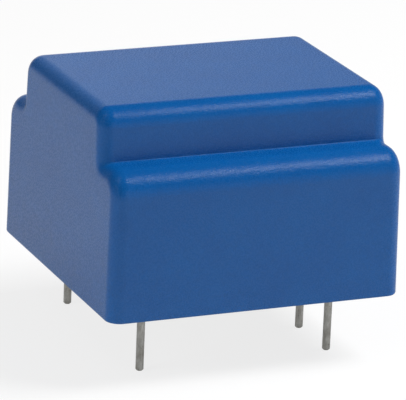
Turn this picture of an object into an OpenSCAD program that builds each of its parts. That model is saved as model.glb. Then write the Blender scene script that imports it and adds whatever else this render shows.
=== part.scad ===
// Miniature board-mounted mains transformer, potted in a stepped moulded housing.
// A two-chamber bobbin carries the windings, two stacks of E sheets close the iron circuit round it,
// and pins pressed into the bobbin's rails pass through the resin that fills the housing.
//
// X runs from the primary pins to the secondary pins and Y along the rows of pins.
// Z points up from the plane that the housing's rim stands on. Units are millimetres.

/* [Pins] */
// Distance from the primary row of pins to the secondary row
row_gap = 15; // [14:0.5:20]
// Pitch of the pins along a row
pin_pitch = 5; // [4:0.25:5.5]
// Diameter of a pin
pin_d = 0.6; // [0.5:0.05:0.8]
// Length of a pin below the rim, to the end of its tip
pin_length = 5.2; // [3:0.1:8]
// Chamfer round a pin's tip
tip_chamfer = 0.1; // [0.05:0.05:0.2]

/* [Iron core] */
// Width of the middle leg
centre_leg_w = 6; // [4:0.5:8]
// Width of each outer leg
outer_leg_w = 3; // [2:0.25:4]
// Depth of the yoke that joins the legs
yoke_w = 3; // [2:0.25:4]
// Height of the stack of sheets
stack_h = 5.5; // [4:0.5:8]
// Thickness of one sheet, with its varnish
sheet_t = 0.5; // [0.35:0.05:0.65]

/* [Bobbin] */
// Wall of the tube round the middle leg
tube_wall = 0.6; // [0.4:0.1:1]
// Thickness of the end flanges
flange_t = 0.7; // [0.5:0.1:1]
// Thickness of the partition between the chambers
partition_t = 1; // [0.6:0.1:2]
// Depth of the chambers, from the tube to the flange's edge
chamber_depth = 2.9; // [2.5:0.1:4]
// Width of the rail that holds a row of pins, outside its flange
rail_w = 2.3; // [2:0.1:3]
// Length of a rail past its last pin
rail_end = 1.5; // [1:0.1:2]

/* [Windings] */
// Diameter of the wire ends that run to the pins
lead_d = 0.2; // [0.15:0.05:0.3]
// Build of the primary winding
primary_build = 2.3; // [1.8:0.1:2.3]
// Build of each secondary winding
secondary_build = 1.05; // [0.7:0.05:1.05]
// Thickness of each wrap of insulating tape
tape_t = 0.2; // [0.1:0.05:0.25]
// Turns of wire round each pin
wrap_turns = 2; // [1:1:3]

/* [Housing] */
// Wall of the housing
wall = 1.2; // [0.8:0.1:1.6]
// Radius of the long edges of the top
top_edge_r = 1.5; // [1.3:0.1:1.9]
// Radius of the long edges of the shoulders
shoulder_edge_r = 1.9; // [1.3:0.1:2.2]
// Radius of the edge round each end face
end_edge_r = 1.1; // [0.6:0.1:1.2]
// Draft of the end faces and of the lower sides, in degrees
draft = 0.8; // [0:0.1:1.5]
// Slope of the upper sides, in degrees
upper_slope = 3; // [0:0.5:5]
// Depth of the resin's face behind the rim
resin_recess = 0.5; // [0.2:0.1:1.5]

/* [Clearances] */
// Between the core and the bobbin, all round
core_clearance = 0.1; // [0.05:0.05:0.2]
// Between the flange's edge and the outer leg
leg_gap = 0.4; // [0.2:0.1:0.8]
// Between the yoke and the end wall
end_gap = 0.3; // [0.2:0.1:1]
// Between the outer leg and the side wall
side_gap = 0.2; // [0.1:0.1:1]
// Between the core and the ceiling of the shoulders
shoulder_gap = 0.1; // [0.1:0.1:1]
// Between the flange's edge and the upper side wall
flange_gap = 0.4; // [0.2:0.1:1]
// Between the flange's top and the ceiling
top_gap = 0.35; // [0.2:0.05:1]
// Resin below the flanges
flange_cover = 0.25; // [0.1:0.05:0.6]
// Between a rail and the yoke above it
rail_gap = 0.35; // [0.2:0.05:0.8]
// Between the solder on the pins and the rail above it
solder_gap = 0.55; // [0.2:0.05:1]

/* [Hidden] */
$fn = 48;
EPS = 0.01;
LEAD_GAP = 0.1; // round a wire end, in its notch and beside the solder
LEAD_COVER = 0.65; // resin below the wire ends
SHEET_FILM = 0.02; // varnish between two sheets
BUTT_GAP = 0.06; // between the legs of the two stacks
SOLDER_T = 0.05; // solder over the wrapped wire
BURIED = 0.3; // how far a wire end starts inside its winding
WIRE_OFFSET = 0.02; // a wire end meets its turns this far off their middle, outwards and upwards
BEND_SWELL = 1.04; // a wire end is this much fuller at its bends
FLANGE_CORNER_R = 0.6;
MIN_RAIL_H = 1.2;
PIN_CAP = 0.3; // rail left above a pin's end

// Pins and wire ends
pin_r = pin_d / 2;
lead_r = lead_d / 2;
row_x = row_gap / 2;
corner_y = 1.5 * pin_pitch;
inner_y = 0.5 * pin_pitch;
shank = 0.96 * pin_d / sqrt(2); // side of the square shank, whose corners stay inside the round
wrap_r = pin_r + lead_d;
solder_r = wrap_r + SOLDER_T;
wire_in = pin_r + lead_r + WIRE_OFFSET; // from a pin's axis to its wire end
lead_x = row_x - wire_in;
exit_step = solder_r + lead_d + 1.5 * LEAD_GAP;
inner_exit_y = inner_y - exit_step;
outer_exit_y = inner_y + exit_step;

// Along X, from the pins outwards to the end wall
flange_out = row_x - solder_r - SOLDER_T;
flange_in = flange_out - flange_t;
window_x = flange_out + core_clearance;
core_x = window_x + yoke_w;
cavity_x = max(core_x, flange_out + rail_w) + end_gap;
case_x = cavity_x + wall;

// Along Y, from the middle leg outwards to the side walls
tube_y = centre_leg_w / 2 + core_clearance + tube_wall;
flange_y = tube_y + chamber_depth;
window_y = flange_y + leg_gap;
core_y = window_y + outer_leg_w;
rail_y = corner_y + rail_end;
cavity_y = max(core_y, rail_y) + side_gap;
case_y = cavity_y + wall;
upper_cavity_y = flange_y + flange_gap;
upper_y = upper_cavity_y + wall;

// Along Z, from the resin's face up to the top
tube_z = stack_h / 2 + core_clearance + tube_wall; // from the core's middle, as are the next
flange_z = tube_z + chamber_depth;
lead_z = resin_recess + LEAD_COVER + lead_r;
wrap_h = wrap_turns * lead_d;
wrap_bottom = lead_z - lead_r - WIRE_OFFSET;
solder_bottom = wrap_bottom - SOLDER_T;
solder_h = wrap_h + 4 * SOLDER_T;
rail_bottom = solder_bottom + solder_h + solder_gap;
core_mid = max(
    resin_recess + flange_cover + flange_z,
    rail_bottom + MIN_RAIL_H + rail_gap + stack_h / 2
);
core_bottom = core_mid - stack_h / 2;
core_top = core_mid + stack_h / 2;
rail_top = core_bottom - rail_gap;
shoulder_ceiling = core_top + shoulder_gap;
ceiling = core_mid + flange_z + top_gap;
shoulder_z = shoulder_ceiling + wall;
case_h = ceiling + wall;
pin_shoulder = resin_recess + 0.05;
pin_top = rail_top - PIN_CAP;

// Along the chambers: a wire end leaves beside the layer that covers its winding
side_step = lead_d + 4 * LEAD_GAP;
chamber_start = partition_t / 2;
inner_lead_x = flange_in - side_step / 2;
outer_lead_x = inner_lead_x - side_step;
sheets = round(stack_h / sheet_t);
sheet_pitch = stack_h / sheets;

// ---- shared shapes ----

// Box between two values on each axis
module block(x, y, z)
    translate([x[0], y[0], z[0]])
        cube([x[1] - x[0], y[1] - y[0], z[1] - z[0]]);

module rounded_rect(w, h, r) {
    square([w - 2 * r, h], center = true);
    square([w, h - 2 * r], center = true);
    for (x = [-1, 1], y = [-1, 1])
        translate([x * (w / 2 - r), y * (h / 2 - r)])
            circle(r);
}

// Outline of the coil at a depth above the tube, in the YZ plane
module coil_outline(depth) {
    if (depth > 0)
        rounded_rect(2 * (tube_y + depth), 2 * (tube_z + depth), depth);
    else
        square([2 * tube_y, 2 * tube_z], center = true);
}

// Extrudes an outline along X about the core's middle, between two values of X
module along_x(x0, x1)
    translate([x0, 0, core_mid])
        rotate([90, 0, 90])
            linear_extrude(x1 - x0)
                children();

// One layer of wire or tape round the tube
module layer(x0, x1, inner, outer)
    along_x(x0, x1)
        difference() {
            coil_outline(outer);
            coil_outline(inner);
        }

module rod(a, b, r) {
    d = b - a;
    translate(a)
        rotate([0, acos(d.z / norm(d)), atan2(d.y, d.x)])
            cylinder(h = norm(d), r = r);
}

// Wire end: out of the winding's underside, along the resin's face and two turns round a pin
module lead(side, x, exit_y, pin_y, depth) {
    start_z = core_mid - tube_z - depth + BURIED;
    path = [
        [side * x, exit_y, start_z],
        [side * x, exit_y, lead_z],
        [side * lead_x, exit_y, lead_z],
        [side * lead_x, pin_y, lead_z]
    ];
    for (i = [0:2])
        rod(path[i], path[i + 1], lead_r);
    for (i = [1:2])
        translate(path[i])
            sphere(BEND_SWELL * lead_r);
    translate([side * row_x, pin_y, wrap_bottom])
        wrap();
}

// Turns of a wire end round a pin
module wrap()
    difference() {
        cylinder(h = wrap_h, r = wrap_r);
        translate([0, 0, -1])
            cylinder(h = wrap_h + 2, r = pin_r);
    }

// ---- housing and resin ----

// Rounded corner of the profile, ready to be hulled into a block
module corner_ring(edge_r)
    rotate([0, 90, 0])
        rotate_extrude()
            intersection() {
                translate([edge_r - end_edge_r, 0])
                    circle(end_edge_r);
                translate([0, -end_edge_r])
                    square([edge_r, 2 * end_edge_r]);
            }

// How far the centre of a radius r stands back, h above the foot of a face that slopes inwards
function set_back(slope, h, r) = tan(slope) * h + r / cos(slope);

// Drafted block with rounded ends and rounded long top edges, half_y wide on each side at base_z
module drafted_block(half_y, base_z, top_z, edge_r, slope) {
    ring_z = top_z - edge_r;
    ring_x = case_x - set_back(draft, ring_z + edge_r - end_edge_r, end_edge_r);
    ring_y = half_y - set_back(slope, ring_z - base_z, edge_r);
    foot_x = case_x - tan(draft) * (base_z + EPS) - end_edge_r;
    foot_y = half_y - tan(slope) * EPS - end_edge_r;
    hull()
        for (x = [-1, 1], y = [-1, 1]) {
            translate([x * ring_x, y * ring_y, ring_z])
                corner_ring(edge_r);
            translate([x * foot_x, y * foot_y, base_z])
                cylinder(h = EPS, r = end_edge_r);
        }
}

// Space inside the housing, up from a height
module cavity(from_z) {
    block([-cavity_x, cavity_x], [-cavity_y, cavity_y], [from_z, shoulder_ceiling]);
    block([-cavity_x, cavity_x], [-upper_cavity_y, upper_cavity_y], [from_z, ceiling]);
}

module case()
    color("#2F66A8")
        difference() {
            union() {
                drafted_block(case_y, 0, shoulder_z, shoulder_edge_r, draft);
                drafted_block(
                    upper_y + tan(upper_slope) * shoulder_edge_r,
                    shoulder_z - shoulder_edge_r,
                    case_h,
                    top_edge_r,
                    upper_slope
                );
            }
            cavity(-1);
        }

module potting_resin()
    color("#2B2B2E")
        difference() {
            cavity(resin_recess);
            bobbin();
            primary_winding();
            secondary_winding_1();
            secondary_winding_2();
            primary_tape();
            interlayer_tape();
            secondary_tape();
            for (side = [-1, 1])
                core_envelope(side);
            tube_bore(flange_out);
            primary_pin_1();
            primary_pin_2();
            secondary_pin_1();
            secondary_pin_2();
            secondary_pin_3();
            secondary_pin_4();
            primary_solder_1();
            primary_solder_2();
            secondary_solder_1();
            secondary_solder_2();
            secondary_solder_3();
            secondary_solder_4();
        }

// ---- bobbin ----

module flange(x0, x1)
    along_x(x0, x1)
        rounded_rect(2 * flange_y, 2 * flange_z, FLANGE_CORNER_R);

module bobbin()
    color("#D8D3C4")
        difference() {
            union() {
                along_x(-flange_out, flange_out)
                    coil_outline(0);
                flange(-chamber_start, chamber_start);
                for (side = [-1, 1]) {
                    flange(min(side * flange_in, side * flange_out), max(side * flange_in, side * flange_out));
                    rail(side);
                }
            }
            tube_bore(case_x);
            for (side = [-1, 1], y = [-1, 1])
                lead_notch(side, y * outer_exit_y);
            for (y = [-1, 1])
                lead_notch(1, y * inner_exit_y);
            for (y = [-1, 1])
                pin_hole(-1, y * corner_y);
            for (y = [-3, -1, 1, 3])
                pin_hole(1, y * inner_y);
        }

module tube_bore(half_x)
    along_x(-half_x, half_x)
        square([centre_leg_w + 2 * core_clearance, stack_h + 2 * core_clearance], center = true);

module rail(side)
    translate([side * (flange_in + flange_out + rail_w) / 2, 0, (rail_bottom + rail_top) / 2])
        cube([flange_t + rail_w, 2 * rail_y, rail_top - rail_bottom], center = true);

// Notch in the lower edge of an end flange, for a wire end
module lead_notch(side, y)
    translate([side * (flange_in + flange_out) / 2, y, core_mid - flange_z])
        cube(
            [2 * flange_t, lead_d + 2 * LEAD_GAP, 2 * (lead_z + lead_r + LEAD_GAP - core_mid + flange_z)],
            center = true
        );

module pin_hole(side, y)
    translate([side * row_x, y, (rail_bottom - 1 + pin_top) / 2])
        cube([shank, shank, pin_top - rail_bottom + 1], center = true);

// ---- windings and tapes ----

module primary_winding()
    color("#B5652B") {
        layer(-flange_in, -chamber_start, 0, primary_build);
        for (y = [-1, 1])
            lead(-1, inner_lead_x, y * outer_exit_y, y * corner_y, primary_build);
    }

// The first secondary lies on the tube
module secondary_winding_1()
    color("#B5652B") {
        layer(chamber_start, flange_in, 0, secondary_build);
        lead(1, inner_lead_x, -outer_exit_y, -corner_y, secondary_build);
        lead(1, inner_lead_x, -inner_exit_y, -inner_y, secondary_build);
    }

// The second secondary lies over the first, and leaves room beside it for the first one's ends
module secondary_winding_2()
    color("#B5652B") {
        layer(chamber_start, flange_in - side_step, secondary_build + tape_t, 2 * secondary_build + tape_t);
        lead(1, outer_lead_x, inner_exit_y, inner_y, 2 * secondary_build + tape_t);
        lead(1, outer_lead_x, outer_exit_y, corner_y, 2 * secondary_build + tape_t);
    }

module primary_tape()
    color("#D9B44A")
        layer(-flange_in + side_step, -chamber_start, primary_build, primary_build + tape_t);

module interlayer_tape()
    color("#D9B44A")
        layer(chamber_start, flange_in - side_step, secondary_build, secondary_build + tape_t);

module secondary_tape()
    color("#D9B44A")
        layer(
            chamber_start,
            flange_in - 2 * side_step,
            2 * secondary_build + tape_t,
            2 * secondary_build + 2 * tape_t
        );

// ---- core ----

module e_outline() {
    translate([window_x, -core_y])
        square([yoke_w, 2 * core_y]);
    translate([BUTT_GAP / 2, -centre_leg_w / 2])
        square([core_x - BUTT_GAP / 2, centre_leg_w]);
    for (y = [-core_y, window_y])
        translate([BUTT_GAP / 2, y])
            square([core_x - BUTT_GAP / 2, outer_leg_w]);
}

// Stack of separate E sheets on one side
module e_stack(side)
    color("#6E7276")
        mirror([side < 0 ? 1 : 0, 0, 0])
            for (i = [0:sheets - 1])
                translate([0, 0, core_bottom + i * sheet_pitch + SHEET_FILM / 2])
                    linear_extrude(sheet_pitch - SHEET_FILM)
                        e_outline();

module core_envelope(side)
    mirror([side < 0 ? 1 : 0, 0, 0])
        translate([0, 0, core_bottom])
            linear_extrude(stack_h)
                e_outline();

module primary_core() e_stack(-1);
module secondary_core() e_stack(1);

// ---- pins and solder ----

// Round pin with a chamfered tip, coined square where it is pressed into its rail
module pin(side, y) {
    wall_z = tip_chamfer - pin_length;
    color("#B8BABD")
        translate([side * row_x, y, 0]) {
            translate([0, 0, -pin_length])
                cylinder(h = tip_chamfer, r1 = pin_r - tip_chamfer, r2 = pin_r);
            translate([0, 0, wall_z])
                cylinder(h = pin_shoulder - wall_z, r = pin_r);
            translate([-shank / 2, -shank / 2, pin_shoulder - 1])
                cube([shank, shank, pin_top - pin_shoulder + 1]);
        }
}

// Solder round a wrapped wire end, tapering up the shank
module solder(side, y)
    color("#C9CBCC")
        translate([side * row_x, y, solder_bottom])
            difference() {
                union() {
                    cylinder(h = solder_h - 2 * SOLDER_T, r = solder_r);
                    translate([0, 0, solder_h - 2 * SOLDER_T])
                        cylinder(h = 2 * SOLDER_T, r1 = solder_r, r2 = pin_r);
                }
                cube([shank, shank, 4 * solder_h], center = true);
                translate([0, 0, SOLDER_T])
                    wrap();
                // the wire end comes in from the middle of the row
                translate([-side * wire_in, 0, lead_z - solder_bottom])
                    rotate([y > 0 ? 90 : -90, 0, 0])
                        cylinder(h = 2 * solder_r, r = lead_r);
            }

module primary_pin_1() pin(-1, -corner_y);
module primary_pin_2() pin(-1, corner_y);
module secondary_pin_1() pin(1, -corner_y);
module secondary_pin_2() pin(1, -inner_y);
module secondary_pin_3() pin(1, inner_y);
module secondary_pin_4() pin(1, corner_y);
module primary_solder_1() solder(-1, -corner_y);
module primary_solder_2() solder(-1, corner_y);
module secondary_solder_1() solder(1, -corner_y);
module secondary_solder_2() solder(1, -inner_y);
module secondary_solder_3() solder(1, inner_y);
module secondary_solder_4() solder(1, corner_y);

case();
potting_resin();
bobbin();
primary_winding();
secondary_winding_1();
secondary_winding_2();
primary_tape();
interlayer_tape();
secondary_tape();
primary_core();
secondary_core();
primary_pin_1();
primary_pin_2();
secondary_pin_1();
secondary_pin_2();
secondary_pin_3();
secondary_pin_4();
primary_solder_1();
primary_solder_2();
secondary_solder_1();
secondary_solder_2();
secondary_solder_3();
secondary_solder_4();
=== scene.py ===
import bpy
from math import cos, pi, radians, sin, tan
from mathutils import Euler, Matrix, Vector


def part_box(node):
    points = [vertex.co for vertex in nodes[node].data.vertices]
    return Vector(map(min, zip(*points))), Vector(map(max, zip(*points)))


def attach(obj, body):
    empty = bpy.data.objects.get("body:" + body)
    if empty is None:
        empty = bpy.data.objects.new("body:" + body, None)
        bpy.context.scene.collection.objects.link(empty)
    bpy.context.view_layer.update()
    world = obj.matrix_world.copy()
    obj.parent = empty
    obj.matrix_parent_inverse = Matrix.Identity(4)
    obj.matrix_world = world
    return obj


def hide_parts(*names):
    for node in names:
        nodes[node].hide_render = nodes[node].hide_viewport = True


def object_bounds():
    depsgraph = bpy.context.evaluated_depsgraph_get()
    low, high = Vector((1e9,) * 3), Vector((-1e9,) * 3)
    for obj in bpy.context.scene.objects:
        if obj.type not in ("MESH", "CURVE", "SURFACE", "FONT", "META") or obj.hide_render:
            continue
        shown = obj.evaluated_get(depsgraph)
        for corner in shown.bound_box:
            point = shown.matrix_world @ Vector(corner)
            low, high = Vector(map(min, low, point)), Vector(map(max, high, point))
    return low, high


mm = 0.001

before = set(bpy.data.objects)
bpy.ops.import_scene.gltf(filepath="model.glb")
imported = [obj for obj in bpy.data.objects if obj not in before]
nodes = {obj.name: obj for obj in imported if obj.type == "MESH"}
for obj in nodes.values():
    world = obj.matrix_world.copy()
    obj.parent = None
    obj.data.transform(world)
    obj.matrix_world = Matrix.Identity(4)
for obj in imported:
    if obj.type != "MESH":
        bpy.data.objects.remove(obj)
cadLow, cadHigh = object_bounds()
print("frame loaded:", len(nodes), "nodes")

# where things are, from the frame
caseLow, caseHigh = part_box("case")
resinLow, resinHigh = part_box("potting_resin")
pinNames = sorted(n for n in nodes if "_pin_" in n)
pinPlaces = {n: (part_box(n)[0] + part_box(n)[1]) / 2 for n in pinNames}
pinRadius = (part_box(pinNames[0])[1].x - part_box(pinNames[0])[0].x) / 2
standZ = cadLow.z  # the pins' tips


def deselectAll():
    if bpy.context.object and bpy.context.object.mode != "OBJECT":
        bpy.ops.object.mode_set(mode="OBJECT")
    bpy.ops.object.select_all(action="DESELECT")


def activate(piece):
    deselectAll()
    piece.select_set(True)
    bpy.context.view_layer.objects.active = piece


def selectFaces(piece, wanted):
    # in edit mode: selects the faces whose centre and normal suit, and nothing else
    bpy.ops.mesh.select_all(action="DESELECT")
    bpy.ops.object.mode_set(mode="OBJECT")
    for face in piece.data.polygons:
        face.select = bool(wanted(face.center, face.normal))
    bpy.ops.object.mode_set(mode="EDIT")
    bpy.ops.mesh.select_mode(type="FACE")


def selectEdges(piece, wanted):
    # wanted gets the edge's two ends
    bpy.ops.mesh.select_mode(type="EDGE")
    bpy.ops.mesh.select_all(action="DESELECT")
    bpy.ops.object.mode_set(mode="OBJECT")
    corners = piece.data.vertices
    for edge in piece.data.edges:
        a, b = (corners[i].co for i in edge.vertices)
        edge.select = bool(wanted(a, b))
    bpy.ops.object.mode_set(mode="EDIT")


def near(a, b, slack=0.01 * mm):
    return abs(a - b) < slack


def applyModifiers(piece):
    activate(piece)
    for modifier in list(piece.modifiers):
        bpy.ops.object.modifier_apply(modifier=modifier.name)


def finishShading(piece, angle=30):
    activate(piece)
    bpy.ops.object.shade_smooth_by_angle(angle=radians(angle))


def steppedBlock(name, low, high, stepZ, upperHalf, draft=0.0, slope=0.0):
    # a block with a narrower upper half, drafted towards the top
    # low and high are its box at the foot
    bpy.ops.mesh.primitive_cube_add(size=1, location=(0, 0, (low.z + stepZ) / 2))
    block = bpy.context.object
    block.name = name
    block.scale = (high.x - low.x, high.y - low.y, stepZ - low.z)
    bpy.ops.object.transform_apply(location=True, rotation=True, scale=True)
    bpy.ops.object.mode_set(mode="EDIT")
    for side in (-1, 1):
        bpy.ops.mesh.select_all(action="SELECT")
        bpy.ops.mesh.bisect(plane_co=(0, side * upperHalf, 0), plane_no=(0, 1, 0))
    selectFaces(block, lambda c, n: n.z > 0.9 and abs(c.y) < upperHalf)
    rise = high.z - stepZ
    bpy.ops.mesh.extrude_region_move(TRANSFORM_OT_translate={"value": (0, 0, rise)})
    # the coplanar strips that the bisects left become one face on each end
    bpy.ops.mesh.select_all(action="SELECT")
    bpy.ops.mesh.dissolve_limited(angle_limit=radians(0.5))
    bpy.ops.object.mode_set(mode="OBJECT")
    if draft or slope:
        for vertex in block.data.vertices:
            co = vertex.co
            upper = co.z > stepZ + 0.01 * mm
            lean = tan(draft) * (co.z - low.z)
            co.x -= lean if co.x > 0 else -lean
            if upper:
                lean = tan(slope) * (co.z - stepZ)
            elif near(abs(co.y), upperHalf):
                lean = 0.0
            co.y -= lean if co.y > 0 else -lean
    return block


housingShape = {
    "topEdge": 1.5 * mm,  # radius of the long edges of the top
    "shoulderEdge": 1.9 * mm,  # and of the shoulders
    "endEdge": 1.1 * mm,  # width of the rounding round each end face
    "innerCorner": 0.1 * mm,  # where a shoulder meets the upper side
    "rimEdge": 0.13 * mm,
    "draft": radians(0.8),
    "upperSlope": radians(3),
    "upperHalfWidth": 8.2 * mm,  # at the shoulder
    "shoulderHeight": 11.15 * mm,
    "shoulderCeiling": 9.95 * mm,
    "upperCavityHalfWidth": 7.0 * mm,
    "cavityOverrun": 2 * mm,  # how far the cutter for the space inside starts below the rim
    "longEdge": 10 * mm,  # an edge along X over this length runs the housing's whole length
    "segments": 14,
    "innerSegments": 3,
    "rimSegments": 2,
    "smoothAngle": 32,
}


def makeHousing():
    shape = housingShape
    block = steppedBlock(
        "housing", caseLow, caseHigh, shape["shoulderHeight"], shape["upperHalfWidth"],
        shape["draft"], shape["upperSlope"],
    )
    activate(block)
    bpy.ops.object.mode_set(mode="EDIT")
    # long edges of the top, then of the shoulders
    for height, radius, slope in (
        (caseHigh.z, shape["topEdge"], shape["upperSlope"]),
        (shape["shoulderHeight"], shape["shoulderEdge"], shape["draft"]),
    ):
        outer = max(abs(v.co.y) for v in block.data.vertices if near(v.co.z, height))

        def longEdge(a, b):
            alongX = near(a.y, b.y) and abs(a.x - b.x) > shape["longEdge"]
            return alongX and near(a.z, height) and near(b.z, height) and near(abs(a.y), outer)

        selectEdges(block, longEdge)
        reach = radius * tan((pi / 2 - slope) / 2)
        bpy.ops.mesh.bevel(
            offset=reach, segments=shape["segments"], affect="EDGES", clamp_overlap=False
        )

    def innerEdge(a, b):
        # the shoulder's inner corner, which keeps the small radius of the tool that cut the mould
        alongX = near(a.y, b.y) and abs(a.x - b.x) > shape["longEdge"]
        return alongX and all(
            near(p.z, shape["shoulderHeight"]) and near(abs(p.y), shape["upperHalfWidth"])
            for p in (a, b)
        )

    selectEdges(block, innerEdge)
    bpy.ops.mesh.bevel(
        offset=shape["innerCorner"], segments=shape["innerSegments"], affect="EDGES",
        clamp_overlap=False,
    )

    def endEdge(a, b):
        # the edge round each end face, all but the rim
        if a.x * b.x < 0 or (near(a.z, caseLow.z) and near(b.z, caseLow.z)):
            return False
        reach = tan(shape["draft"])
        return all(near(abs(p.x), caseHigh.x - reach * (p.z - caseLow.z)) for p in (a, b))

    selectEdges(block, endEdge)
    bpy.ops.mesh.bevel(
        offset=shape["endEdge"], segments=shape["segments"], affect="EDGES", clamp_overlap=False
    )
    bpy.ops.object.mode_set(mode="OBJECT")

    # the space inside, cut out from below
    cavityLow = Vector((resinLow.x, resinLow.y, caseLow.z - shape["cavityOverrun"]))
    cavityHigh = Vector((resinHigh.x, resinHigh.y, resinHigh.z))
    cavity = steppedBlock(
        "housingCavity", cavityLow, cavityHigh, shape["shoulderCeiling"],
        shape["upperCavityHalfWidth"],
    )
    cut = block.modifiers.new("cavity", "BOOLEAN")
    cut.operation = "DIFFERENCE"
    cut.solver = "EXACT"
    cut.object = cavity
    applyModifiers(block)
    bpy.data.objects.remove(cavity)

    # the rim's edges are broken by a hair
    activate(block)
    bpy.ops.object.mode_set(mode="EDIT")
    selectFaces(block, lambda c, n: n.z < -0.9 and near(c.z, caseLow.z))
    bpy.ops.mesh.region_to_loop()
    bpy.ops.mesh.bevel(
        offset=shape["rimEdge"], segments=shape["rimSegments"], affect="EDGES", clamp_overlap=False
    )
    bpy.ops.object.mode_set(mode="OBJECT")
    finishShading(block, shape["smoothAngle"])
    weigh = block.modifiers.new("flatFaces", "WEIGHTED_NORMAL")
    weigh.keep_sharp = True
    applyModifiers(block)
    return block


deselectAll()
housing = makeHousing()
print("housing modelled:", len(housing.data.polygons), "faces")
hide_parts("case")
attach(housing, "root")


meniscusShape = {
    "reach": 0.4 * mm,  # how far the resin runs out from a wall or pin
    "climb": 0.2 * mm,  # and how far up it, which is down in this frame
    "buried": 0.04 * mm,  # how far the piece goes into what it lies against
    "steps": 8,
    "spinSteps": 36,
    "weld": 0.0005 * mm,
    "heightSlack": 0.0001 * mm,  # how closely the ring's two ends are picked out
    "reachSlack": 0.001 * mm,
    "smoothAngle": 40,
}


def meniscusSection(outwards):
    # distance from the wall and height from the resin's face, once round the section
    shape = meniscusShape
    turns = [(pi / 2) * i / shape["steps"] for i in range(shape["steps"] + 1)]
    curve = [(shape["reach"] * (1 - sin(t)), -shape["climb"] * (1 - cos(t))) for t in turns]
    points = [(-shape["buried"], shape["buried"]), (shape["reach"], shape["buried"])] + curve
    points.append((-shape["buried"], -shape["climb"]))
    return [(outwards * distance, height) for distance, height in points]


def makePinMeniscus(name, centre):
    # a plane is merged to one vertex, extruded round the section, and spun round the pin
    points = meniscusSection(1)
    startX, startH = points[0]
    bpy.ops.mesh.primitive_plane_add(size=1 * mm, location=(0, 0, 0))
    piece = bpy.context.object
    piece.name = name
    bpy.ops.object.mode_set(mode="EDIT")
    bpy.ops.mesh.merge(type="CENTER")
    bpy.ops.mesh.select_all(action="SELECT")
    start = (centre.x + pinRadius + startX, centre.y, resinLow.z + startH)
    bpy.ops.transform.translate(value=start)
    for (x0, h0), (x1, h1) in zip(points, points[1:] + points[:1]):
        bpy.ops.mesh.extrude_vertices_move(TRANSFORM_OT_translate={"value": (x1 - x0, 0, h1 - h0)})
    bpy.ops.mesh.select_all(action="SELECT")
    bpy.ops.mesh.spin(
        steps=meniscusShape["spinSteps"], angle=2 * pi, center=(centre.x, centre.y, 0),
        axis=(0, 0, 1),
    )
    bpy.ops.mesh.select_all(action="SELECT")
    bpy.ops.mesh.remove_doubles(threshold=meniscusShape["weld"])
    bpy.ops.object.mode_set(mode="OBJECT")
    return piece


def makeWallMeniscus():
    # a rectangle's outline is extruded round the same section, and its two ends are bridged
    points = meniscusSection(-1)
    halfX, halfY = resinHigh.x, resinHigh.y
    bpy.ops.mesh.primitive_plane_add(size=2, location=(0, 0, 0))
    piece = bpy.context.object
    piece.name = "wallMeniscus"
    startD, startH = points[0]
    piece.scale = (halfX + startD, halfY + startD, 1)
    piece.location.z = resinLow.z + startH
    bpy.ops.object.transform_apply(location=True, rotation=True, scale=True)
    bpy.ops.object.mode_set(mode="EDIT")
    bpy.ops.mesh.select_all(action="SELECT")
    bpy.ops.mesh.delete(type="ONLY_FACE")
    bpy.ops.mesh.select_all(action="SELECT")
    for (d0, h0), (d1, h1) in zip(points, points[1:]):
        bpy.ops.mesh.extrude_edges_move(TRANSFORM_OT_translate={"value": (0, 0, h1 - h0)})
        growth = ((halfX + d1) / (halfX + d0), (halfY + d1) / (halfY + d0), 1)
        bpy.ops.transform.resize(value=growth)

    def onRing(p, distance, height):
        reached = max(abs(p.x) - halfX, abs(p.y) - halfY)
        level = near(p.z, resinLow.z + height, meniscusShape["heightSlack"])
        return level and near(reached, distance, meniscusShape["reachSlack"])

    def onEnds(a, b):
        return any(onRing(a, *end) and onRing(b, *end) for end in (points[0], points[-1]))

    selectEdges(piece, onEnds)
    bpy.ops.mesh.bridge_edge_loops()
    bpy.ops.object.mode_set(mode="OBJECT")
    return piece


def finishMeniscus(piece):
    activate(piece)
    bpy.ops.object.mode_set(mode="EDIT")
    bpy.ops.mesh.select_all(action="SELECT")
    bpy.ops.mesh.normals_make_consistent(inside=False)
    bpy.ops.object.mode_set(mode="OBJECT")
    finishShading(piece, meniscusShape["smoothAngle"])
    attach(piece, "root")
    return piece


deselectAll()
resinPieces = [finishMeniscus(makeWallMeniscus())]
for name, centre in pinPlaces.items():
    deselectAll()
    resinPieces.append(finishMeniscus(makePinMeniscus("meniscus_" + name, centre)))
print("meniscus modelled:", len(resinPieces), "pieces")


class Socket:
    # one output, used in sums as a number would be
    def __init__(self, recipe, output):
        self.recipe = recipe
        self.output = output

    def maths(self, operation, *values):
        sockets = dict(enumerate(values))
        return self.recipe.node("ShaderNodeMath", {"operation": operation}, sockets)

    def __add__(self, other):
        return self.maths("ADD", self, other)

    def __radd__(self, other):
        return self.maths("ADD", other, self)

    def __sub__(self, other):
        return self.maths("SUBTRACT", self, other)

    def __rsub__(self, other):
        return self.maths("SUBTRACT", other, self)

    def __mul__(self, other):
        return self.maths("MULTIPLY", self, other)

    def __rmul__(self, other):
        return self.maths("MULTIPLY", other, self)

    def pick(self, name):
        # another output of the same node
        return Socket(self.recipe, self.output.node.outputs[name])


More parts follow.
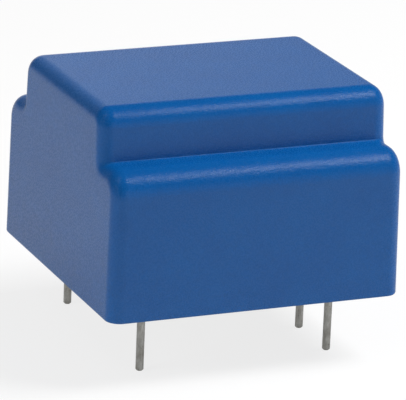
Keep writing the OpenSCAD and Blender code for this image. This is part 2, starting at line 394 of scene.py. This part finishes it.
class Recipe:
    # the node tree of one material, or of the world
    def __init__(self, name, owner=None):
        self.material = owner or bpy.data.materials.new(name)
        self.material.use_nodes = True
        self.tree = self.material.node_tree
        self.tree.nodes.clear()

    def node(self, kind, settings=None, sockets=None, output=0):
        made = self.tree.nodes.new(kind)
        for key, value in (settings or {}).items():
            setattr(made, key, value)
        for key, value in (sockets or {}).items():
            if isinstance(value, Socket):
                self.tree.links.new(value.output, made.inputs[key])
            else:
                made.inputs[key].default_value = value
        return Socket(self, made.outputs[output]) if len(made.outputs) else None

    def place(self, scale=(1, 1, 1)):
        # the point on the piece, in metres; a scale below 1 draws the pattern out
        coordinates = self.node("ShaderNodeTexCoord", output="Object")
        return self.node("ShaderNodeMapping", {}, {"Vector": coordinates, "Scale": scale})

    def rays(self):
        # 1 for what the camera sees itself, and 1 for what shows in reflections or through glass
        paths = self.node("ShaderNodeLightPath")
        glossy, through = paths.pick("Is Glossy Ray"), paths.pick("Is Transmission Ray")
        return paths.pick("Is Camera Ray"), glossy.maths("MAXIMUM", glossy, through)

    def noise(self, vector, scale, detail=2.0, roughness=0.5, distortion=0.0):
        return self.node(
            "ShaderNodeTexNoise", {},
            {"Vector": vector, "Scale": scale, "Detail": detail, "Roughness": roughness,
             "Distortion": distortion},
        )

    def mix(self, factor, first, second):
        return self.node(
            "ShaderNodeMix", {"data_type": "RGBA"}, {"Factor": factor, 6: first, 7: second},
            output=2,
        )

    def range(self, value, low, high, toLow=0.0, toHigh=1.0):
        return self.node(
            "ShaderNodeMapRange", {},
            {"Value": value, "From Min": low, "From Max": high, "To Min": toLow, "To Max": toHigh},
        )

    def bump(self, height, distance, normal=None):
        sockets = {"Height": height, "Distance": distance, "Strength": 1.0}
        if normal:
            sockets["Normal"] = normal
        return self.node("ShaderNodeBump", {}, sockets)

    def finish(self, sockets):
        shader = self.node("ShaderNodeBsdfPrincipled", {}, sockets)
        self.node("ShaderNodeOutputMaterial", {}, {"Surface": shader})
        return self.material


def rgb(red, green, blue):
    # a colour written in sRGB bytes, as linear light
    def linear(value):
        share = value / 255
        return share / 12.92 if share <= 0.04045 else ((share + 0.055) / 1.055) ** 2.4
    return (linear(red), linear(green), linear(blue), 1.0)


plasticLook = {
    "colour": rgb(4, 89, 160),
    "shade": rgb(6, 85, 155),
    "roughness": 0.27,
    "roughnessSpread": 0.5,
    "refraction": 1.46,
    "grain": 0.12 * mm,  # size of the spark-eroded grain
    "grainHeight": 0.035 * mm,
    "flow": 3 * mm,  # size of the cloudy flow marks
}


def mouldedPlastic():
    look = plasticLook
    recipe = Recipe("mouldedPlastic")
    point = recipe.place()
    flow = recipe.noise(point, 1 / look["flow"], 3, 0.55)
    grain = recipe.noise(point, 1 / look["grain"], 2, 0.6)
    coarse = recipe.noise(point, 0.35 / look["grain"], 2, 0.5)
    colour = recipe.mix(recipe.range(flow, 0.3, 0.7), look["colour"], look["shade"])
    roughness = look["roughness"] + (grain - 0.5) * look["roughnessSpread"]
    height = grain * 0.6 + coarse * 0.4
    return recipe.finish({
        "Base Color": colour,
        "Roughness": roughness,
        "Normal": recipe.bump(height, look["grainHeight"]),
        "IOR": look["refraction"],
    })


def dressNode(name, material):
    mesh = nodes[name].data
    mesh.materials.clear()
    mesh.materials.append(material)


housing.data.materials.clear()
housing.data.materials.append(mouldedPlastic())


resinLook = {
    "colour": rgb(30, 31, 34),
    "bloom": rgb(46, 47, 51),  # the paler film that casting leaves
    "roughness": 0.32,
    "bubble": 0.9 * mm,  # distance between bubble pits
    "bubbleDepth": 0.03 * mm,
    "wave": 2.5 * mm,
    "waveHeight": 0.04 * mm,
}


def castResin():
    look = resinLook
    recipe = Recipe("castResin")
    point = recipe.place()
    cloud = recipe.noise(point, 1 / look["wave"], 3, 0.6)
    dust = recipe.noise(point, 9 / look["wave"], 2, 0.5)
    cells = recipe.node("ShaderNodeTexVoronoi", {}, {"Vector": point, "Scale": 1 / look["bubble"]})
    pit = recipe.range(cells, 0.06, 0.16, 1.0, 0.0)
    film = recipe.range(cloud, 0.35, 0.7)
    waves = recipe.bump(cloud, look["waveHeight"])
    return recipe.finish({
        "Base Color": recipe.mix(film * 0.6 + pit * 0.3, look["colour"], look["bloom"]),
        "Roughness": look["roughness"] + film * 0.16 + (dust - 0.5) * 0.12 + pit * 0.2,
        "Normal": recipe.bump(pit * -1.0, look["bubbleDepth"], waves),
    })


bobbinLook = {
    "colour": rgb(222, 217, 201),
    "shade": rgb(207, 200, 182),
    "roughness": 0.48,
    "grain": 0.15 * mm,
    "grainHeight": 0.01 * mm,
    "flow": 0.4 / mm,  # how closely the flow marks lie
    "translucence": 0.05,
    "scatter": (0.6 * mm, 0.5 * mm, 0.4 * mm),  # how far red, green and blue get
}


def bobbinPlastic():
    look = bobbinLook
    recipe = Recipe("bobbinPlastic")
    point = recipe.place()
    flow = recipe.noise(point, look["flow"], 3, 0.55)
    grain = recipe.noise(point, 1 / look["grain"], 2, 0.5)
    return recipe.finish({
        "Base Color": recipe.mix(recipe.range(flow, 0.3, 0.7), look["colour"], look["shade"]),
        "Roughness": look["roughness"] + (grain - 0.5) * 0.2,
        "Normal": recipe.bump(grain, look["grainHeight"]),
        "Subsurface Weight": look["translucence"],
        "Subsurface Radius": look["scatter"],
    })


wireLook = {
    # name: enamel colour, the darker colour painted as shade into the grooves between turns and
    # also used for random scuffs, and the distance from turn to turn
    "primary": {"colour": rgb(186, 92, 40), "shade": rgb(140, 62, 24), "turn": 0.12 * mm},
    "secondary": {"colour": rgb(196, 116, 52), "shade": rgb(156, 82, 30), "turn": 0.24 * mm},
}


def enamelledWire(name, colour, shade, turn):
    # turns lie side by side along the coil's axis
    recipe = Recipe(name + "Wire")
    point = recipe.place()
    along = recipe.node("ShaderNodeSeparateXYZ", {}, {"Vector": point}, output="X")
    stray = recipe.noise(point, 0.5 / turn, 2, 0.5)
    phase = along * (2 * pi / turn) + stray * 2.5
    ridge = phase.maths("SINE", phase) * 0.5 + 0.5
    scuff = recipe.noise(point, 2 / turn, 2, 0.6)
    return recipe.finish({
        # painted shade: the base colour darkens in the grooves between turns, following the ridge,
        # mixed with random scuff tone
        "Base Color": recipe.mix(ridge * 0.7 + scuff * 0.3, shade, colour),
        "Metallic": 0.85,
        "Roughness": 0.24 + (1 - ridge) * 0.2,
        "Coat Weight": 0.6,
        "Normal": recipe.bump(ridge, turn * 0.35),
    })


tapeLook = {
    "colour": rgb(226, 186, 66),
    "shade": rgb(206, 160, 44),
    "roughness": 0.2,
    "layer": 0.06 * mm,
    "pull": 0.9 / mm,  # how closely the stretch marks lie
    "wrinkle": 2 / mm,
    "wrinkleHeight": 0.03 * mm,
}


def polyesterTape():
    look = tapeLook
    recipe = Recipe("polyesterTape")
    point = recipe.place()
    pull = recipe.noise(recipe.place((0.15, 1, 1)), look["pull"], 3, 0.6)
    wrinkle = recipe.noise(point, look["wrinkle"], 2, 0.5)
    edge = recipe.noise(recipe.place((1, 0.1, 0.1)), 1 / look["layer"], 2, 0.5)
    return recipe.finish({
        "Base Color": recipe.mix(recipe.range(pull, 0.3, 0.7), look["colour"], look["shade"]),
        "Roughness": look["roughness"] + (wrinkle - 0.4) * 0.2,
        "Coat Weight": 0.4,
        "Normal": recipe.bump(wrinkle + edge * 0.15, look["wrinkleHeight"]),
    })


steelLook = {
    "colour": rgb(122, 126, 130),
    "shade": rgb(92, 96, 104),
    "oxide": rgb(104, 82, 62),
    "roughness": 0.36,
    "rolling": 6 / mm,  # how closely the rolling marks lie
    "rollingHeight": 0.008 * mm,
    "bloom": 0.8 / mm,
}


def electricalSheet():
    look = steelLook
    recipe = Recipe("electricalSheet")
    rolling = recipe.noise(recipe.place((0.05, 1, 1)), look["rolling"], 3, 0.6)
    bloom = recipe.noise(recipe.place(), look["bloom"], 4, 0.6)
    stain = recipe.range(bloom, 0.58, 0.72)
    metal = recipe.mix(rolling, look["colour"], look["shade"])
    return recipe.finish({
        "Base Color": recipe.mix(stain * 0.6, metal, look["oxide"]),
        "Metallic": 0.92 - stain * 0.5,
        "Roughness": look["roughness"] + (rolling - 0.5) * 0.24 + stain * 0.2,
        "Normal": recipe.bump(rolling, look["rollingHeight"]),
    })


pinLook = {
    "colour": rgb(196, 196, 192),
    "dull": rgb(150, 148, 141),
    "pit": rgb(84, 82, 78),
    "roughness": 0.42,
    "streak": 0.09 * mm,  # width of the drawing marks
    "mark": 0.35 * mm,  # size of the dull patches
    "depth": 0.012 * mm,
    "darkEnd": 0.16 * mm,  # the bare cut end, from the tip up
}


def tinnedWire():
    look = pinLook
    recipe = Recipe("tinnedWire")
    drawn = recipe.place((1, 1, 0.06))
    point = recipe.place()
    streak = recipe.noise(drawn, 1 / look["streak"], 3, 0.6)
    patch = recipe.noise(recipe.place((1, 1, 0.5)), 1 / look["mark"], 3, 0.6)
    speck = recipe.noise(point, 3 / look["mark"], 2, 0.6)
    pit = recipe.range(speck, 0.64, 0.72)
    height = recipe.node("ShaderNodeSeparateXYZ", {}, {"Vector": point}, output="Z")
    cutEnd = recipe.range(height, standZ, standZ + look["darkEnd"], 1.0, 0.0)
    dullness = recipe.range(patch, 0.35, 0.65) * 0.7 + streak * 0.3
    tin = recipe.mix(dullness, look["colour"], look["dull"])
    worn = recipe.mix(pit.maths("MAXIMUM", pit * 0.8, cutEnd * 0.6), tin, look["pit"])
    return recipe.finish({
        "Base Color": worn,
        "Metallic": 0.9 - pit * 0.3,
        "Roughness": look["roughness"] + (streak - 0.5) * 0.3 + cutEnd * 0.1,
        "Normal": recipe.bump(streak * 0.5 + patch * 0.5 - pit * 0.6, look["depth"]),
    })


solderLook = {
    "colour": rgb(206, 207, 208),
    "dull": rgb(176, 177, 179),
    "roughness": 0.26,
    "ripple": 3 / mm,  # how closely the ripples lie
    "rippleHeight": 0.03 * mm,
    "frost": 12 / mm,
}


def tinSolder():
    look = solderLook
    recipe = Recipe("tinSolder")
    ripple = recipe.noise(recipe.place((1, 1, 2)), look["ripple"], 3, 0.6, 0.4)
    frost = recipe.noise(recipe.place(), look["frost"], 2, 0.5)
    return recipe.finish({
        "Base Color": recipe.mix(recipe.range(ripple, 0.35, 0.65), look["colour"], look["dull"]),
        "Metallic": 1.0,
        "Roughness": look["roughness"] + (frost - 0.5) * 0.2,
        "Normal": recipe.bump(ripple, look["rippleHeight"]),
    })


looks = {
    "potting_resin": castResin(),
    "bobbin": bobbinPlastic(),
    "primary_winding": enamelledWire("primary", **wireLook["primary"]),
    "secondary_winding": enamelledWire("secondary", **wireLook["secondary"]),
    "tape": polyesterTape(),
    "core": electricalSheet(),
    "pin": tinnedWire(),
    "solder": tinSolder(),
}
for name in nodes:
    for word, material in looks.items():
        if word in name and name != "case":
            dressNode(name, material)
for piece in resinPieces:
    piece.data.materials.clear()
    piece.data.materials.append(looks["potting_resin"])
print("materials on", len(nodes), "nodes")


stageLook = {
    "floorSize": 600 * mm,
    "floorShade": 0.9,  # what the floor gives back to the object
    "glow": 0.8,  # share of the floor's white that shadows leave alone
    "mirroredGlow": 0.5,  # the same for reflections
    "fill": 0.15,  # the world's own light
    "bright": 0.95,  # the white sweep in reflections, straight behind
    "dull": 0.32,  # and behind the sides
    "sweepTop": 23,  # elevation up to which reflections see the sweep, in degrees
    "sweepFade": 10,
    "sweepRight": (0.28, 0.46),  # where it falls off to the right, as the direction's X
    "sweepLeft": (-0.3, 0.2),  # and where it comes up from the left
    "leftShare": 0.12,
    "dark": 0.04,  # what reflections see above it
}


def makeFloor():
    bpy.ops.mesh.primitive_plane_add(size=stageLook["floorSize"], location=(0, 0, standZ))
    floor = bpy.context.object
    floor.name = "floor"
    recipe = Recipe("paleFloor")
    isSeen, isMirrored = recipe.rays()
    shade = stageLook["floorShade"]
    diffuse = recipe.node("ShaderNodeBsdfDiffuse", {}, {"Color": (shade, shade, shade, 1)})
    rest = 1 - stageLook["glow"]
    dim = recipe.node("ShaderNodeBsdfDiffuse", {}, {"Color": (rest, rest, rest, 1)})
    level = isSeen * stageLook["glow"] + isMirrored * stageLook["mirroredGlow"]
    glow = recipe.node("ShaderNodeEmission", {}, {"Color": (1, 1, 1, 1), "Strength": level})
    lit = recipe.node("ShaderNodeAddShader", {}, {0: dim, 1: glow})
    both = recipe.node("ShaderNodeMixShader", {}, {0: isSeen + isMirrored, 1: diffuse, 2: lit})
    recipe.node("ShaderNodeOutputMaterial", {}, {"Surface": both})
    floor.data.materials.append(recipe.material)


def makeWorld():
    world = bpy.data.worlds.new("studio")
    bpy.context.scene.world = world
    look = stageLook
    recipe = Recipe("studio", world)
    direction = recipe.node("ShaderNodeTexCoord", output="Generated")
    height = recipe.node("ShaderNodeSeparateXYZ", {}, {"Vector": direction}, output="Z")
    side = height.pick("X")
    sheet = recipe.range(side, *look["sweepRight"], look["bright"], look["dull"])
    sheet = sheet * recipe.range(side, *look["sweepLeft"], look["leftShare"], 1.0)
    low = sin(radians(look["sweepTop"] - look["sweepFade"] / 2))
    high = sin(radians(look["sweepTop"] + look["sweepFade"] / 2))
    sweep = look["dark"] + recipe.range(height, low, high, 1.0, 0.0) * (sheet - look["dark"])
    isSeen, isMirrored = recipe.rays()
    level = look["fill"] + isMirrored * (sweep - look["fill"])
    strength = level + isSeen * (1 - level)
    light = recipe.node("ShaderNodeBackground", {}, {"Color": (1, 1, 1, 1), "Strength": strength})
    recipe.node("ShaderNodeOutputWorld", {}, {"Surface": light})


# each lamp looks at the housing's middle; azimuth 0 is in front and 90 on the right
lamps = {
    "key": {
        "azimuth": 52, "elevation": 56, "distance": 160 * mm, "size": 42 * mm, "power": 0.03,
        "mirrored": True,  # whether it shows in reflections
    },
    "softbox": {
        "azimuth": 72, "elevation": 55, "distance": 300 * mm, "size": 150 * mm, "power": 0.84,
        "mirrored": False,
    },
    "leftFill": {
        "azimuth": -80, "elevation": 20, "distance": 300 * mm, "size": 150 * mm, "power": 0.25,
        "mirrored": False,
    },
    "leftAccent": {
        "azimuth": -80, "elevation": 58, "distance": 200 * mm, "size": 40 * mm, "power": 0.014,
        "mirrored": True,
    },
}


def turned(azimuth, elevation):
    # the turn that looks back at the object from there
    return Euler((radians(90 - elevation), 0, radians(azimuth))).to_matrix().to_4x4()


def makeLamp(name, azimuth, elevation, distance, size, power, mirrored):
    bpy.ops.object.light_add(type="AREA")
    lamp = bpy.context.object
    lamp.name = name
    lamp.data.size = size
    lamp.data.energy = power
    lamp.visible_glossy = mirrored
    centre = (caseLow + caseHigh) / 2
    back = Matrix.Translation((0, 0, distance))
    lamp.matrix_world = Matrix.Translation(centre) @ turned(azimuth, elevation) @ back


cameraView = {
    "azimuth": -23.318,
    "elevation": 18.109,
    "roll": 2.334,
    "distance": 277.1 * mm,
    "sensor": 36,
    "lens": 328.1,
    "aim": (0.21 * mm, -0.09 * mm, 4.85 * mm),
    "nearest": 1 * mm,
}


def makeCamera():
    view = cameraView
    bpy.ops.object.camera_add()
    camera = bpy.context.object
    camera.data.sensor_width = view["sensor"]
    camera.data.lens = view["lens"]
    camera.data.clip_start = view["nearest"]
    turn = turned(view["azimuth"], view["elevation"])
    roll = Matrix.Rotation(radians(view["roll"]), 4, "Z")
    back = Matrix.Translation((0, 0, view["distance"]))
    camera.matrix_world = Matrix.Translation(view["aim"]) @ turn @ roll @ back
    bpy.context.scene.camera = camera


deselectAll()
makeFloor()
makeWorld()
for name, values in lamps.items():
    makeLamp(name, **values)
makeCamera()
bpy.context.scene.view_settings.view_transform = "Standard"
print("floor, light and camera set")
